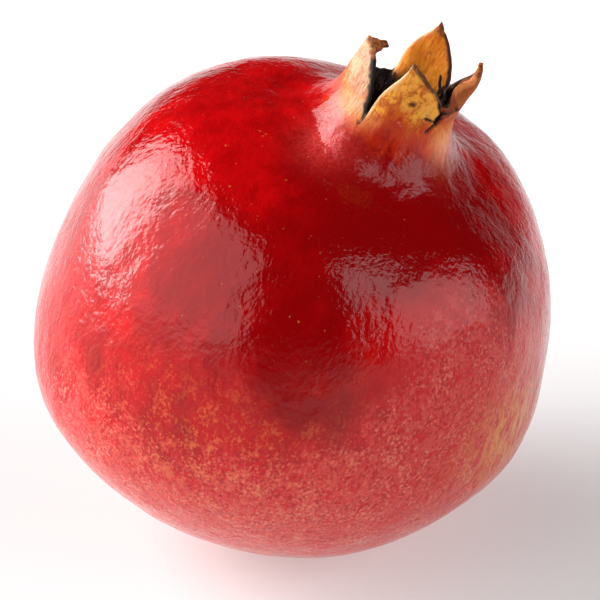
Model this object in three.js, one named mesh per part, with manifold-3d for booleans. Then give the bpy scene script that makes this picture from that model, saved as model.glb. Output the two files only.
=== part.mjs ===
import * as THREE from 'three';
import { mergeVertices } from 'three/addons/utils/BufferGeometryUtils.js';
import Module from 'manifold-3d';

// A whole pomegranate with its calyx crown, its dried stamens and the stub of its stalk.
// Millimetres and degrees. Every piece is drawn in the fruit's own frame: origin in the middle of the body,
// +Z along the fruit's axis from the stalk end to the crown, azimuth 0 along +X. One group then leans the
// fruit over onto the small flat spot that it rests on. The origin of the model lies in that spot, straight
// below the middle of the body.

// ---- Driving dimensions -------------------------------------------------------------------------------

const BODY_RADIUS = 45.6;           // at the equator, before the bulges
const TUBE_RADIUS = 10.6;           // calyx tube, outside, where its lobes begin
const TUBE_TOP = 50.2;              // height of that ring above the middle of the body
const CUP_RADIUS = 8.4;             // inside of the calyx tube
const CUP_DEPTH = 7.5;              // from the ring down to the edge of the cup's floor
const CUP_DISH = 0.8;               // how far the middle of that floor lies below its edge
const LOBE_WALL = 1.1;              // thickness of a lobe away from its edge
const LIP_WALL = 0.7;               // thickness of a lobe at its edge
const LIP_FADE = 2.2;               // distance from the edge over which the wall thickens
const LIP_RISE = 0.3;               // how far the rounded edge stands above the two faces
const DIMPLE_RADIUS = 9.5;          // rim of the hollow that the stalk grows from
const DIMPLE_TOP = -42.8;           // height of the middle of that hollow
const DIMPLE_RIM = -45.0;           // height of its rim

const AXIS = new THREE.Vector3(0.370, -0.0953, 0.924).normalize();   // the way the crown points
const REST_HEIGHT = 45.5;           // middle of the body above the surface that it rests on
const REST_BLEND = 1.2;             // height over which the flat spot runs out into the rind

const COLUMNS = 72;                 // about how many columns of faces go round the fruit
const CROWN_ROWS = 12;              // rows of faces from the cup's floor up to the edge of the lobes
const FLOOR_RINGS = [0.66, 0.33];   // rings on the cup's floor, as shares of its radius

// The body's outline from the stalk end to the calyx tube: cubic curves through [radius, height].
const NECK_FOOT = [21.0, 39.6];
const NECK = [NECK_FOOT, [15.0, 40.8], [11.8, 44.0], [TUBE_RADIUS, TUBE_TOP]];
const OUTLINE = [
  { rows: 4, points: [[0, DIMPLE_TOP], [4.0, DIMPLE_TOP], [4.5, -45.2], [DIMPLE_RADIUS, DIMPLE_RIM]] },
  { rows: 14, points: [[DIMPLE_RADIUS, DIMPLE_RIM], [26.5, -44.2], [BODY_RADIUS, -24.5], [BODY_RADIUS, 0]] },
  { rows: 12, points: [[BODY_RADIUS, 0], [BODY_RADIUS, 22.5], [37.5, 36.0], NECK_FOOT] },
];
const NECK_ROWS = 3;

// Broad swellings of the body: where each one points, how high it is and how wide it spreads.
const BULGES = [
  { azimuth: 192, latitude: -34, height: 2.6, spread: 14 },
  { azimuth: 219, latitude: -31, height: 1.9, spread: 14 },
  { azimuth: 165, latitude: -31, height: 1.9, spread: 14 },
  { azimuth: 343, latitude: -5, height: 2.8, spread: 14 },
  { azimuth: 319, latitude: -10, height: 1.2, spread: 14 },
  { azimuth: 7, latitude: 0, height: 1.4, spread: 14 },
  { azimuth: 39, latitude: 51, height: 1.6, spread: 11 },
  { azimuth: 14, latitude: 36, height: -1.0, spread: 10 },
  { azimuth: 131, latitude: 42, height: -0.9, spread: 11 },
  { azimuth: 317, latitude: -37, height: 0.6, spread: 13 },
  { azimuth: 281, latitude: -54, height: -0.5, spread: 13 },
  { azimuth: 98, latitude: -14, height: 2.0, spread: 16 },
  { azimuth: 55, latitude: -38, height: 1.4, spread: 14 },
  { azimuth: 138, latitude: -6, height: 1.2, spread: 14 },
];
const RIDGES = { count: 6, azimuth: 12, height: 0.45, from: -20, full: 35 };
const BODY_FADE = { from: 36, to: 46 };   // heights between which bulges and ridges die out below the crown

// The calyx lobes in order round the crown. azimuth is where the tip stands and length how far it reaches
// above the ring. The lobe tilts outwards by lean, and its end turns by hook between two shares of its
// length. cup curls it lengthwise. before and after are the outline on either side of the tip:
// half width = (1 - height^round)^taper. point says how steeply the edge climbs to the tip.
const LOBES = [
  { azimuth: 255, length: 12.2, lean: 4, hook: -12, turn: [0.4, 1], cup: 0.02, point: 0.9,
    before: { round: 1.0, taper: 1.25 }, after: { round: 1.5, taper: 0.85 } },
  { azimuth: 318, length: 4.5, lean: 4, hook: 0, turn: [0.4, 1], cup: 0, point: 0.5,
    before: { round: 2.0, taper: 0.7 }, after: { round: 2.0, taper: 0.7 } },
  { azimuth: 8, length: 11.8, lean: 15, hook: -4, turn: [0.4, 1], cup: 0.12, point: 0.9,
    before: { round: 2.2, taper: 0.8 }, after: { round: 2.2, taper: 0.8 } },
  { azimuth: 71, length: 11.0, lean: 5, hook: -6, turn: [0.4, 1], cup: -0.02, point: 0.9,
    before: { round: 1.5, taper: 0.9 }, after: { round: 1.5, taper: 1.0 } },
  { azimuth: 118, length: -2.2, lean: 0, hook: 0, turn: [0.4, 1], cup: 0, point: 0.5,
    before: { round: 2.0, taper: 0.7 }, after: { round: 2.0, taper: 0.7 } },
  { azimuth: 190, length: 14.2, lean: 0, hook: -105, turn: [0.66, 0.88], cup: 0.03, point: 0.9,
    before: { round: 2.0, taper: 0.85 }, after: { round: 1.6, taper: 0.85 } },
];
// The notch before each lobe: its azimuth and its height above the ring.
const NOTCHES = [
  { azimuth: 236, level: -1.3 }, { azimuth: 306, level: 3.8 }, { azimuth: 331, level: 1.5 },
  { azimuth: 32, level: 0.5 }, { azimuth: 94, level: -1.8 }, { azimuth: 145, level: -2.3 },
];

// Dried stamens: a fibrous pad on the cup's floor, rings of filaments with a bead at the end of each, and
// one long one, the style, which stands up beside the broken lobes.
const SEED = 11;
const PAD = { radius: 7.4, base: TUBE_TOP - CUP_DEPTH + 0.4, height: 2.4, sides: 24 };
const FILAMENT = { radius: 0.34, bead: 0.55, sides: 5, sunk: 1.2 };
const FILAMENT_RINGS = [
  { count: 20, radius: 6.2, length: 6.6, tilt: -14 },
  { count: 14, radius: 4.2, length: 6.2, tilt: -2 },
  { count: 7, radius: 2.0, length: 5.6, tilt: 10 },
];
const STYLE = { azimuth: 346, foot: 2.4, length: 13.6, tilt: 11, radius: 0.5 };

// The stub of the stalk, cut short: outline as [radius, height], from inside the dimple down to the cut.
const STALK = {
  sides: 18,
  outline: [[0, -43.2], [1.6, -43.3], [2.9, -43.75], [3.3, -44.2], [2.8, -44.8],
    [2.5, -45.6], [2.6, -46.3], [2.2, -46.7], [0, -46.6]],
  squash: 0.88,
};

const MATERIALS = {
  fruit: { color: 0xa3121a, roughness: 0.35, metalness: 0 },
  stamens: { color: 0x2c1a12, roughness: 0.9, metalness: 0 },
  stalk: { color: 0x7a5a3c, roughness: 0.85, metalness: 0 },
};

// ---- Small helpers ------------------------------------------------------------------------------------

const radians = THREE.MathUtils.degToRad;
const { lerp, clamp } = THREE.MathUtils;
const ease = (share) => THREE.MathUtils.smoothstep(share, 0, 1);
const turnBetween = (from, to) => (to - from + 360) % 360;

function direction(azimuth, latitude) {
  const [a, b] = [radians(azimuth), radians(latitude)];
  return new THREE.Vector3(Math.cos(b) * Math.cos(a), Math.cos(b) * Math.sin(a), Math.sin(b));
}

function onTube(radius, angle, height) {
  return new THREE.Vector3(radius * Math.cos(angle), radius * Math.sin(angle), height);
}

function cubic(points) {
  return new THREE.CubicBezierCurve(...points.map(([x, y]) => new THREE.Vector2(x, y)));
}

// A closed mesh from a first point, rings of points and a last point. Rings at and past flip are split
// along the other diagonal, so that the two faces of a thin lobe have the same creases.
function closedMesh(first, rings, last, flip) {
  const columns = rings[0].length;
  const positions = [first, ...rings.flat(), last].flatMap((p) => [p.x, p.y, p.z]);
  const at = (ring, column) => 1 + ring * columns + (column % columns);
  const end = 1 + rings.length * columns;
  const index = [];
  for (let column = 0; column < columns; column += 1) {
    index.push(0, at(0, column + 1), at(0, column));
    for (let ring = 0; ring < rings.length - 1; ring += 1) {
      const a = at(ring, column);
      const b = at(ring, column + 1);
      const c = at(ring + 1, column + 1);
      const d = at(ring + 1, column);
      index.push(...(ring < flip ? [a, b, c, a, c, d] : [a, b, d, b, c, d]));
    }
    index.push(at(rings.length - 1, column), at(rings.length - 1, column + 1), end);
  }
  const geometry = new THREE.BufferGeometry();
  geometry.setAttribute('position', new THREE.Float32BufferAttribute(positions, 3));
  geometry.setIndex(index);
  return geometry;
}

// ---- Body ---------------------------------------------------------------------------------------------

const LEAN = new THREE.Quaternion().setFromUnitVectors(new THREE.Vector3(0, 0, 1), AXIS);
const UP = new THREE.Vector3(0, 0, 1).applyQuaternion(LEAN.clone().invert());

function swellBody(point) {
  const outwards = point.clone().normalize();
  let push = 0;
  for (const bulge of BULGES) {
    const away = 1 - outwards.dot(direction(bulge.azimuth, bulge.latitude));
    push += bulge.height * Math.exp(-away / radians(bulge.spread) ** 2);
  }
  const azimuth = Math.atan2(point.y, point.x);
  const wave = Math.cos(RIDGES.count * (azimuth - radians(RIDGES.azimuth)));
  push += RIDGES.height * wave * ease((point.z - RIDGES.from) / (RIDGES.full - RIDGES.from));
  push *= 1 - ease((point.z - BODY_FADE.from) / (BODY_FADE.to - BODY_FADE.from));
  return point.clone().addScaledVector(outwards, push);
}

// Presses whatever would reach below the resting surface up onto it, and eases the rind into the spot.
function pressFlat(point) {
  const height = point.dot(UP) + REST_HEIGHT;
  if (height >= REST_BLEND) return point;
  const pressed = height <= 0 ? 0 : height ** 2 * (2 * REST_BLEND - height) / REST_BLEND ** 2;
  return point.clone().addScaledVector(UP, pressed - height);
}

function bodyRings(azimuths) {
  const neck = cubic(NECK).getSpacedPoints(60).filter((p) => p.y < TUBE_TOP - CUP_DEPTH - 0.4);
  const outline = OUTLINE.flatMap(({ rows, points }) => cubic(points).getSpacedPoints(rows).slice(1));
  for (let row = 1; row <= NECK_ROWS; row += 1) {
    outline.push(neck[Math.round(row * (neck.length - 1) / NECK_ROWS)]);
  }
  return outline.map((p) => azimuths.map((a) => pressFlat(swellBody(onTube(p.x, a, p.y)))));
}

// ---- Calyx crown --------------------------------------------------------------------------------------

// Radius of the neck at a height, found on its curve by halving.
function neckRadius(height) {
  const curve = cubic(NECK);
  let [low, high] = [0, 1];
  for (let step = 0; step < 30; step += 1) {
    const middle = (low + high) / 2;
    if (curve.getPoint(middle).y < height) low = middle; else high = middle;
  }
  return curve.getPoint(low).x;
}

function tiltAt(lobe, along) {
  const share = along / lobe.length;
  const [from, to] = lobe.turn;
  return radians(lobe.lean * ease(2 * share) + lobe.hook * ease((share - from) / (to - from)));
}

// Walks up the middle of a lobe and gives the radius, height and tilt it has there.
function spineAt(lobe, along) {
  const steps = 40;
  const stride = along / steps;
  let [radius, height] = [TUBE_RADIUS, TUBE_TOP];
  for (let step = 0.5; step < steps; step += 1) {
    const tilt = tiltAt(lobe, step * stride);
    radius += Math.sin(tilt) * stride;
    height += Math.cos(tilt) * stride;
  }
  return { radius, height, tilt: along > 0 ? tiltAt(lobe, along) : 0 };
}

// The columns of the crown, lobe by lobe. share runs from -1 at the notch before the lobe, through 0 at
// its tip, to 1 at the notch after it.
function crownColumns() {
  return LOBES.flatMap((lobe, k) => {
    const before = NOTCHES[k];
    const after = NOTCHES[(k + 1) % NOTCHES.length];
    const sides = [
      { span: turnBetween(before.azimuth, lobe.azimuth), level: before.level, outline: lobe.before, sign: -1 },
      { span: turnBetween(lobe.azimuth, after.azimuth), level: after.level, outline: lobe.after, sign: 1 },
    ];
    return sides.flatMap((side) => {
      const count = Math.max(2, Math.round(side.span * COLUMNS / 360));
      const shares = Array.from({ length: count }, (_, i) => (side.sign < 0 ? i / count - 1 : i / count));
      return shares.map((share) => ({ lobe, side, share }));
    });
  });
}

// Where one column of the crown ends: its height above the ring, and how far it lies from the lobe's
// middle line at its foot and at its edge.
function columnEdge({ lobe, side, share }) {
  const width = TUBE_RADIUS * radians(side.span);
  const reach = lobe.length - side.level;
  const top = side.level + reach * (1 - Math.abs(share)) ** lobe.point;
  const foot = share * width;
  if (top <= 0 || Math.abs(share) === 1) return { top, foot, edge: foot };
  const start = Math.max(side.level, 0);
  const open = side.level < 0 ? 1 - (-side.level / reach) ** (1 / lobe.point) : 1;
  const height = clamp((top - start) / (lobe.length - start), 0, 1);
  const half = open * width * (1 - height ** side.outline.round) ** side.outline.taper;
  return { top, foot, edge: side.sign * half };
}

// One column of the crown: points up its outside and, level with them, down its inside.
function crownColumn(column) {
  const { lobe } = column;
  const middle = radians(lobe.azimuth);
  const { top, foot, edge } = columnEdge(column);
  const outer = [];
  const inner = [];
  for (let row = 0; row <= CROWN_ROWS; row += 1) {
    const along = lerp(-CUP_DEPTH, top, row / CROWN_ROWS);
    const rise = Math.max(along, 0);
    const across = lerp(foot, edge, top > 0 ? ease(rise / top) : 0);
    let wall = lerp(TUBE_RADIUS - CUP_RADIUS, LOBE_WALL, ease(rise / (0.6 * Math.max(lobe.length, 1))));
    let point;
    let inwards;
    if (along < 0) {
      const angle = middle + across / TUBE_RADIUS;
      const radius = neckRadius(TUBE_TOP + along);
      point = onTube(radius, angle, TUBE_TOP + along);
      inwards = onTube(-1, angle, 0);
      wall = radius - CUP_RADIUS;
    } else {
      const spine = spineAt(lobe, rise);
      const curve = 1 / TUBE_RADIUS + lobe.cup * ease(rise / lobe.length);
      const faced = onTube(-Math.cos(spine.tilt), middle, Math.sin(spine.tilt));
      const sideways = onTube(1, middle + Math.PI / 2, 0);
      point = onTube(spine.radius, middle, spine.height)
        .addScaledVector(sideways, Math.sin(curve * across) / curve)
        .addScaledVector(faced, (1 - Math.cos(curve * across)) / curve);
      inwards = faced.multiplyScalar(Math.cos(curve * across))
        .addScaledVector(sideways, -Math.sin(curve * across));
    }
    const thickness = lerp(wall, LIP_WALL, Math.exp(-(top - along) / LIP_FADE));
    outer.push(point);
    inner.push(point.clone().addScaledVector(inwards, thickness));
  }
  return { azimuth: middle + foot / TUBE_RADIUS, outer, inner };
}

function makeFruit() {
  const columns = crownColumns().map(crownColumn);
  const rows = Array.from({ length: CROWN_ROWS + 1 }, (_, row) => row);
  const outside = rows.map((row) => columns.map((column) => column.outer[row]));
  const inside = rows.map((row) => columns.map((column) => column.inner[row])).reverse();
  const lip = columns.map(({ outer, inner }) => {
    const upwards = outer[CROWN_ROWS].clone().sub(outer[CROWN_ROWS - 1]).normalize();
    return outer[CROWN_ROWS].clone().lerp(inner[CROWN_ROWS], 0.5).addScaledVector(upwards, LIP_RISE);
  });
  const floor = FLOOR_RINGS.map((share) => columns.map(({ inner }) => {
    const dip = CUP_DISH * (1 - share ** 2);
    return new THREE.Vector3(inner[0].x * share, inner[0].y * share, inner[0].z - dip);
  }));
  const body = bodyRings(columns.map((column) => column.azimuth));
  const first = new THREE.Vector3(0, 0, DIMPLE_TOP);
  const last = new THREE.Vector3(0, 0, TUBE_TOP - CUP_DEPTH - CUP_DISH);
  const rings = [...body, ...outside, lip, ...inside, ...floor];
  return closedMesh(first, rings, last, body.length + outside.length);
}

// ---- Stamens and stalk --------------------------------------------------------------------------------

// A turned solid about +Z whose outline starts and ends on the axis.
function turned(outline, sides) {
  const raw = new THREE.LatheGeometry(outline.map(([x, y]) => new THREE.Vector2(x, y)), sides);
  raw.rotateX(Math.PI / 2);
  raw.deleteAttribute('normal');
  raw.deleteAttribute('uv');
  const geometry = mergeVertices(raw, 1e-5);
  const old = geometry.index.array;
  const index = [];
  for (let i = 0; i < old.length; i += 3) {
    const [a, b, c] = old.slice(i, i + 3);
    if (a !== b && b !== c && c !== a) index.push(a, b, c);
  }
  geometry.setIndex(index);
  return geometry;
}

// A small fixed-seed random generator, 0 to 1.
function randomFrom(seed) {
  let state = seed;
  return () => {
    state = (Math.imul(state, 1664525) + 1013904223) >>> 0;
    return state / 2 ** 32;
  };
}

// One dried filament: it stands on the pad at azimuth and foot, tilts outwards and bends over sideways.
function filament({ azimuth, foot, length, tilt, radius, bead, bend }) {
  const outline = [[0, -FILAMENT.sunk], [radius, -FILAMENT.sunk], [radius, 0.45 * length],
    [0.8 * radius, length - 3 * bead], [bead, length - bead], [0, length]];
  const geometry = turned(outline, FILAMENT.sides);
  const position = geometry.getAttribute('position');
  for (let i = 0; i < position.count; i += 1) {
    const share = Math.max(position.getZ(i), 0) / length;
    position.setY(i, position.getY(i) + bend * share ** 2);
  }
  geometry.rotateY(radians(tilt));
  geometry.translate(foot, 0, PAD.base + 0.7 * PAD.height);
  geometry.rotateZ(radians(azimuth));
  return geometry;
}

function filaments() {
  const random = randomFrom(SEED);
  const about = (value, spread) => value + spread * (2 * random() - 1);
  const pieces = [filament({ ...STYLE, bead: STYLE.radius, bend: 0.4 })];
  for (const ring of FILAMENT_RINGS) {
    for (let i = 0; i < ring.count; i += 1) {
      pieces.push(filament({
        azimuth: (i + about(0.5, 0.3)) * 360 / ring.count,
        foot: about(ring.radius, 0.4),
        length: about(ring.length, 1.3),
        tilt: about(ring.tilt, 9),
        radius: FILAMENT.radius,
        bead: FILAMENT.bead,
        bend: about(0, 1.4),
      }));
    }
  }
  return pieces;
}

const wasm = await Module();
wasm.setup();

function toSolid(geometry) {
  return new wasm.Manifold(new wasm.Mesh({
    numProp: 3,
    vertProperties: new Float32Array(geometry.getAttribute('position').array),
    triVerts: new Uint32Array(geometry.index.array),
  }));
}

function makeStamens() {
  const { radius, base, height, sides } = PAD;
  const pad = turned([[0, base - 0.4], [0.7 * radius, base - 0.1], [radius, base + 0.5],
    [0.9 * radius, base + 0.7 * height], [0.5 * radius, base + height], [0, base + 0.9 * height]], sides);
  const solid = filaments().map(toSolid).reduce((joined, piece) => joined.add(piece), toSolid(pad));
  const mesh = solid.getMesh();
  const geometry = new THREE.BufferGeometry();
  geometry.setAttribute('position', new THREE.Float32BufferAttribute(mesh.vertProperties, 3));
  geometry.setIndex(new THREE.Uint32BufferAttribute(mesh.triVerts, 1));
  return geometry;
}

function makeStalk() {
  const geometry = turned([...STALK.outline].reverse(), STALK.sides);
  geometry.scale(1, STALK.squash, 1);
  return geometry;
}

// ---- Model --------------------------------------------------------------------------------------------

function makeMesh(name, geometry) {
  const mesh = new THREE.Mesh(geometry, new THREE.MeshStandardMaterial(MATERIALS[name]));
  mesh.name = name;
  return mesh;
}

const leaning = new THREE.Group();
leaning.quaternion.copy(LEAN);
leaning.position.set(0, 0, REST_HEIGHT);
leaning.add(
  makeMesh('fruit', makeFruit()),
  makeMesh('stamens', makeStamens()),
  makeMesh('stalk', makeStalk()),
);

const pomegranate = new THREE.Group();
pomegranate.add(leaning);

export default pomegranate;
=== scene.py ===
import math

import bpy
import numpy as np
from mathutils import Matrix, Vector, noise


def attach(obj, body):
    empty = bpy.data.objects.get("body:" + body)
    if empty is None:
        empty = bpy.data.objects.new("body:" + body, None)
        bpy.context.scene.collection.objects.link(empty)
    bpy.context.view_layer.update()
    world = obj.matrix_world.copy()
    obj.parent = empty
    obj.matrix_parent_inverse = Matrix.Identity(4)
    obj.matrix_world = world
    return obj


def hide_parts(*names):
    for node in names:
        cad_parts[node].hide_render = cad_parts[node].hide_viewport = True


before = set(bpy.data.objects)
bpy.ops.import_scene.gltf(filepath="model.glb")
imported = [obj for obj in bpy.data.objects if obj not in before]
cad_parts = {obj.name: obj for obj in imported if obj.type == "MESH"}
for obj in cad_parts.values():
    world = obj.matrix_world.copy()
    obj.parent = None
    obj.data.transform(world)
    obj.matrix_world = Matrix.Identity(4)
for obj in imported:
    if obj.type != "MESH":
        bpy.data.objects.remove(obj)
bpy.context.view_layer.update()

# A whole pomegranate. Shapes are worked out in millimetres in the fruit's own frame (origin in the middle
# of the body, +Z along its axis to the crown, azimuth 0 along +X), then leaned over onto the flat spot and
# turned into metres. The body, neck, cup and dimple have the CAD model's dimensions. The lobes and notches
# follow the photo's outline more closely.
MM = 0.001

# ---- Driving dimensions ----
BODY_RADIUS = 45.6
TUBE_RADIUS = 10.6
TUBE_TOP = 50.2
CUP_RADIUS = 8.4
CUP_DEPTH = 7.5
CUP_DISH = 0.8
LOBE_WALL = 1.1
WALL_THINS = 0.6  # the share of a lobe's length over which the wall thins to that
LIP_WALL = 0.7
LIP_FADE = 2.2
LIP_RISE = 0.3
DIMPLE_RADIUS = 9.5
DIMPLE_TOP = -42.8
DIMPLE_RIM = -45.0
AXIS = Vector((0.370, -0.0953, 0.924)).normalized()
REST_HEIGHT = 45.5
REST_BLEND = 1.2
NECK_FOOT = (21.0, 39.6)
OUTLINE = [
    [(0, DIMPLE_TOP), (4.0, DIMPLE_TOP), (4.5, -45.2), (DIMPLE_RADIUS, DIMPLE_RIM)],
    [(DIMPLE_RADIUS, DIMPLE_RIM), (26.5, -44.2), (BODY_RADIUS, -24.5), (BODY_RADIUS, 0)],
    [(BODY_RADIUS, 0), (BODY_RADIUS, 22.5), (37.5, 36.0), NECK_FOOT],
]
NECK = [NECK_FOOT, (15.0, 40.8), (11.8, 44.0), (TUBE_RADIUS, TUBE_TOP)]
BULGES = [  # azimuth, latitude, height, spread
    (192, -34, 2.6, 14), (219, -31, 1.9, 14), (165, -31, 1.9, 14),
    (343, -5, 2.8, 14), (319, -10, 1.2, 14), (7, 0, 1.4, 14),
    (39, 51, 1.6, 11), (14, 36, -1.0, 10), (131, 42, -0.9, 11),
    (317, -37, 0.6, 13), (281, -54, -0.5, 13), (98, -14, 2.0, 16),
    (55, -38, 1.4, 14), (138, -6, 1.2, 14),
]
RIDGES = {"count": 6, "azimuth": 12, "height": 0.45, "from": -20, "full": 35}
BODY_FADE = (36, 46)  # heights over which the bulges and ridges fade out

# Calyx lobes in order round the crown, in degrees and millimetres, with PLAIN for what they don't state.
#   lean, opens    how far the lobe leans outwards, reached at 1 / opens of its length
#   hook, turn     how much further it turns, and between which shares of its length
#   cup            what is added to its curve across
#   point          how its columns end one above another up its edges
#   before, after  its two edges: half width = (1 - height ** first) ** second
#   torn, ragged   how much thicker the torn edge is on each side, and how rough the whole edge is
PLAIN = {"lean": 0, "opens": 2, "hook": 0, "turn": (0.4, 1), "cup": 0, "point": 0.5, "before": (2.0, 0.7),
         "after": (2.0, 0.7), "torn": (0.0, 0.0), "ragged": 0.22}
LOBES = [{**PLAIN, **lobe} for lobe in (
    {"name": "front", "azimuth": 255, "length": 12.2, "lean": 4, "hook": -12, "cup": 0.02, "point": 0.9,
     "before": (2.4, 2.3), "after": (1.5, 0.85)},
    {"name": "stub_right", "azimuth": 318, "length": 4.6, "lean": 6, "torn": (1.2, 1.2), "ragged": 0.5},
    {"name": "right", "azimuth": 8, "length": 11.2, "lean": 20, "opens": 6, "hook": -42, "cup": 0.4,
     "point": 0.75, "before": (1.3, 1.35), "after": (1.5, 1.05), "torn": (1.0, 0.0)},
    {"name": "back", "azimuth": 71, "length": 11.0, "lean": 5, "hook": -6, "cup": -0.02, "point": 0.9,
     "before": (1.7, 1.05), "after": (3.2, 2.2)},
    {"name": "stub_left", "azimuth": 118, "length": -2.2, "ragged": 0.35},
    {"name": "left", "azimuth": 190, "length": 12.1, "lean": -10, "hook": -66, "turn": (0.66, 0.80),
     "cup": 0.03, "point": 0.9, "before": (2.2, 1.0), "after": (2.0, 1.35)},
)]
# The notch before each lobe: azimuth and height above the ring.
NOTCHES = [(236, -1.3), (306, 3.8), (331, 4.3), (32, 0.5), (94, -1.8), (145, -2.3)]

# ---- Fineness of the rind's mesh ----
CROWN_COLUMNS = 200  # columns round the crown, halved and doubled further down
OUTER_ROWS = 44
INNER_ROWS = 34
FLOOR_SHARES = (0.88, 0.74, 0.6, 0.46, 0.32, 0.18)
# Bands of the body from the stalk end up: the outline's radius where each ends (the last one ends at the
# crown), its columns as a multiple of the crown's, and the height of its rows.
BANDS = [(7.0, 0.5, 0.7), (28.0, 1, 0.62), (28.0, 2, 0.72), (0.0, 1, 0.5)]
OUTLINE_SAMPLES = 400
SEAM = 0.3  # from the body's last outline point to the crown's first row
POLE_REACH = -150.0  # the stalk end's distance below the ring, roughly
FAR_FROM_EDGE = 30.0
LIP_ANGLES = (math.pi / 4, math.pi / 2, 3 * math.pi / 4)
FLAT_WITHIN = 0.02  # how near the floor a point has to lie to stay on it

# ---- Small helpers ----


def ease(share):
    """From 0 to 1, gently at both ends."""
    share = np.clip(share, 0, 1)
    return share * share * (3 - 2 * share)


def lerp(a, b, share):
    return a + (b - a) * share


def cubic(points, share):
    p = np.asarray(points, float)
    q = np.asarray(share, float)[..., None]
    return (1 - q) ** 3 * p[0] + 3 * (1 - q) ** 2 * q * p[1] + 3 * (1 - q) * q ** 2 * p[2] + q ** 3 * p[3]


def on_tube(radius, angle, height):
    radius, angle, height = np.broadcast_arrays(radius, angle, height)
    return np.stack([radius * np.cos(angle), radius * np.sin(angle), height], -1)


def direction(azimuth, latitude):
    a, b = math.radians(azimuth), math.radians(latitude)
    return np.array([math.cos(b) * math.cos(a), math.cos(b) * math.sin(a), math.sin(b)])


def unit(vectors):
    return vectors / np.maximum(np.linalg.norm(vectors, axis=-1, keepdims=True), 1e-9)


def noise_at(points, sizes=1.0, shift=0.0):
    """Smooth noise, about -1 to 1, at each row of points, with features of the given sizes."""
    return np.array([noise.noise(Vector(p)) for p in points / np.asarray(sizes) + shift])


LEAN = np.array(Vector((0, 0, 1)).rotation_difference(AXIS).to_matrix())
UP = LEAN.T @ [0, 0, 1.0]


def distances(points):
    """How far along a line each of its points lies."""
    return np.append(0, np.cumsum(np.linalg.norm(np.diff(points, axis=0), axis=1)))


def to_world(points):
    """From the fruit's own frame in millimetres to the model's frame in metres."""
    return (points @ LEAN.T + [0, 0, REST_HEIGHT]) * MM


def add_object(name, data):
    thing = bpy.data.objects.new(name, data)
    bpy.context.scene.collection.objects.link(thing)
    return thing


def make_object(name, points, faces):
    mesh = bpy.data.meshes.new(name)
    mesh.from_pydata(to_world(points).tolist(), [], faces)
    mesh.update()
    mesh.polygons.foreach_set("use_smooth", [True] * len(mesh.polygons))
    return add_object(name, mesh)


def store(mesh, name, values):
    """A number or a vector for each vertex, for the materials to read."""
    values = np.asarray(values, np.float32)
    kind, key = ("FLOAT_VECTOR", "vector") if values.ndim == 2 else ("FLOAT", "value")
    mesh.attributes.new(name, kind, "POINT").data.foreach_set(key, values.ravel())


# ---- Body ----


def swell_body(points):
    """The bulges and the faint ridges."""
    outwards = unit(points)
    push = np.zeros(points.shape[:-1])
    for azimuth, latitude, height, spread in BULGES:
        away = 1 - outwards @ direction(azimuth, latitude)
        push += height * np.exp(-away / math.radians(spread) ** 2)
    azimuth = np.arctan2(points[..., 1], points[..., 0])
    wave = np.cos(RIDGES["count"] * (azimuth - math.radians(RIDGES["azimuth"])))
    height = points[..., 2]
    push += RIDGES["height"] * wave * ease((height - RIDGES["from"]) / (RIDGES["full"] - RIDGES["from"]))
    push *= 1 - ease((height - BODY_FADE[0]) / (BODY_FADE[1] - BODY_FADE[0]))
    return points + outwards * push[..., None]


def press_flat(points):
    """The flat spot that the fruit rests on."""
    height = points @ UP + REST_HEIGHT
    pressed = height ** 2 * (2 * REST_BLEND - height) / REST_BLEND ** 2
    pressed = np.where(height <= 0, 0, np.where(height < REST_BLEND, pressed, height))
    return points + (pressed - height)[..., None] * UP


def outline_points():
    """The body's outline from the stalk end to where the crown's mesh begins, finely sampled."""
    share = np.linspace(0, 1, OUTLINE_SAMPLES)
    neck = cubic(NECK, share)
    neck = neck[neck[:, 1] < TUBE_TOP - CUP_DEPTH - SEAM]
    return np.concatenate([cubic(curve, share)[:-1] for curve in OUTLINE] + [neck])


def band_rings():
    """(outline point, columns as a multiple of the crown's, height above the ring) for each ring."""
    points = outline_points()
    along = distances(points)
    widest = int(points[:, 0].argmax())
    ends = [along[np.argmax(points[:, 0] > radius)] for radius, _, _ in BANDS[:2]]
    ends += [along[widest + np.argmax(points[widest:, 0] < BANDS[2][0])], along[-1]]
    total = along[-1] + CUP_DEPTH
    rings = []
    start = 0.0
    for end, (_, share, height) in zip(ends, BANDS):
        count = max(1, round((end - start) / height))
        for at in np.linspace(start, end, count + 1)[1:]:
            point = [np.interp(at, along, points[:, i]) for i in (0, 1)]
            rings.append((point, share, at - total))
        start = end
    return rings


# ---- Crown ----
NECK_SAMPLES = cubic(NECK, np.linspace(0, 1, 600))


def tilt_at(lobe, along):
    """How far a lobe leans outwards, in radians, at a distance up it."""
    share = along / lobe["length"]
    start, end = lobe["turn"]
    lean = lobe["lean"] * ease(lobe["opens"] * share)
    return np.radians(lean + lobe["hook"] * ease((share - start) / (end - start)))


def spine_at(lobe, along):
    """Radius, height and tilt up the middle of a lobe."""
    steps = 40
    stride = along / steps
    radius = np.full_like(along, TUBE_RADIUS)
    height = np.full_like(along, TUBE_TOP)
    for step in range(steps):
        tilt = tilt_at(lobe, (step + 0.5) * stride)
        radius += np.sin(tilt) * stride
        height += np.cos(tilt) * stride
    return radius, height, np.where(along > 0, tilt_at(lobe, along), 0)


def crown_columns():
    """(lobe number, side, share) for each column. share runs from -1 at the notch before the lobe to 1."""
    columns = []
    for k, lobe in enumerate(LOBES):
        notches = NOTCHES[k], NOTCHES[(k + 1) % len(NOTCHES)]
        sides = zip((-1, 1), notches, (lobe["before"], lobe["after"]), lobe["torn"])
        for sign, (azimuth, level), outline, torn in sides:
            span = sign * (azimuth - lobe["azimuth"]) % 360
            count = 2 * max(1, round(span * CROWN_COLUMNS / 720))
            side = {"sign": sign, "span": span, "level": level, "outline": outline, "torn": torn}
            columns += [(k, side, i / count + min(sign, 0)) for i in range(count)]
    return columns


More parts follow.
